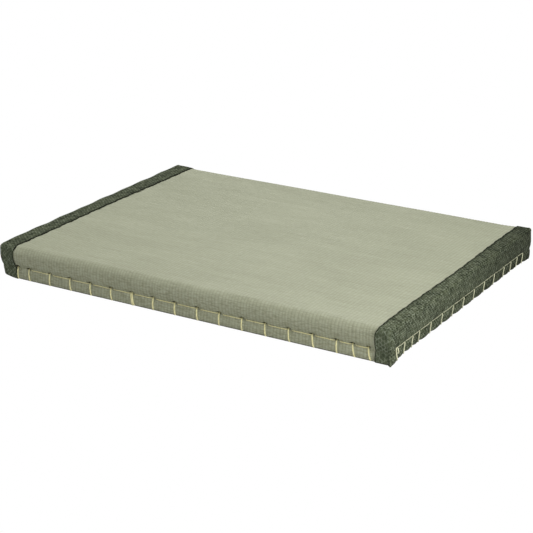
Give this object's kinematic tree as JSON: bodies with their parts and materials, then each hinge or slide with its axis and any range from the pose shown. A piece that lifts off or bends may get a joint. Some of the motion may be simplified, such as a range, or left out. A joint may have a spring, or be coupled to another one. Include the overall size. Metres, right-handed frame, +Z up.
{
  "type": "tatami mat",
  "caption": "Thick stuffed floor mat: a flat slab in woven rush with softly rounded edges, drawn in along a low sewing line, its two ends capped in dark green border cloth.",
  "frame": {"origin": "under the middle of the mat, on the surface that it lies on", "axes": "+X along the front side towards the right border, +Y to the back side, +Z up"},
  "size_m": [0.8, 0.588, 0.0628],
  "materials": {
    "rush": "matt woven rush, pale grey-green",
    "border": "dark green woven cotton, mottled",
    "twine": "straw-coloured waxed twine"
  },
  "bodies": {
    "root": {"rush_body": "rush", "border_left": "border", "border_right": "border"}
  },
  "joints": []
}
